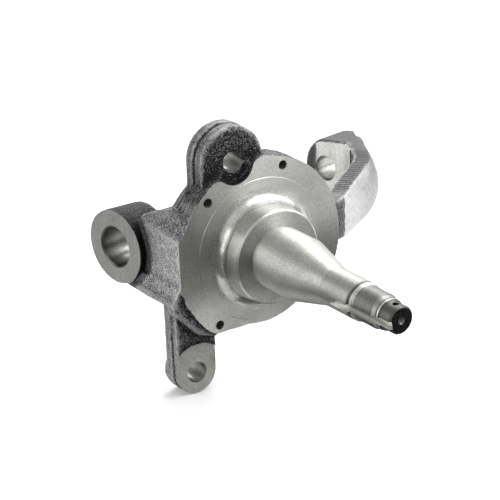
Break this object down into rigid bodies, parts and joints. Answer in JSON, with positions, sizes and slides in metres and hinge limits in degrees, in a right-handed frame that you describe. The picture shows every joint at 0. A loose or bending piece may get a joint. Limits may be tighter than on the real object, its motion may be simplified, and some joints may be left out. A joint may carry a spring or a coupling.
{
  "type": "steering knuckle",
  "caption": "Forged steering knuckle with a stepped wheel spindle, a round machined flange, a ball joint boss, drilled brake ears and a curved upright that ends in a bored lug.",
  "frame": {"origin": "spindle axis at the machined front face of the flange", "axes": "-Y outboard along the spindle to its threaded tip, +X towards the upper ball joint, +Z the third direction; both ball joint holes lie in the plane z = 0"},
  "size_m": [0.18, 0.2092, 0.1363],
  "materials": {
    "forged_steel": "shot blasted forging with bright machined faces"
  },
  "bodies": {
    "root": {"steering_knuckle": "forged_steel"}
  },
  "joints": []
}
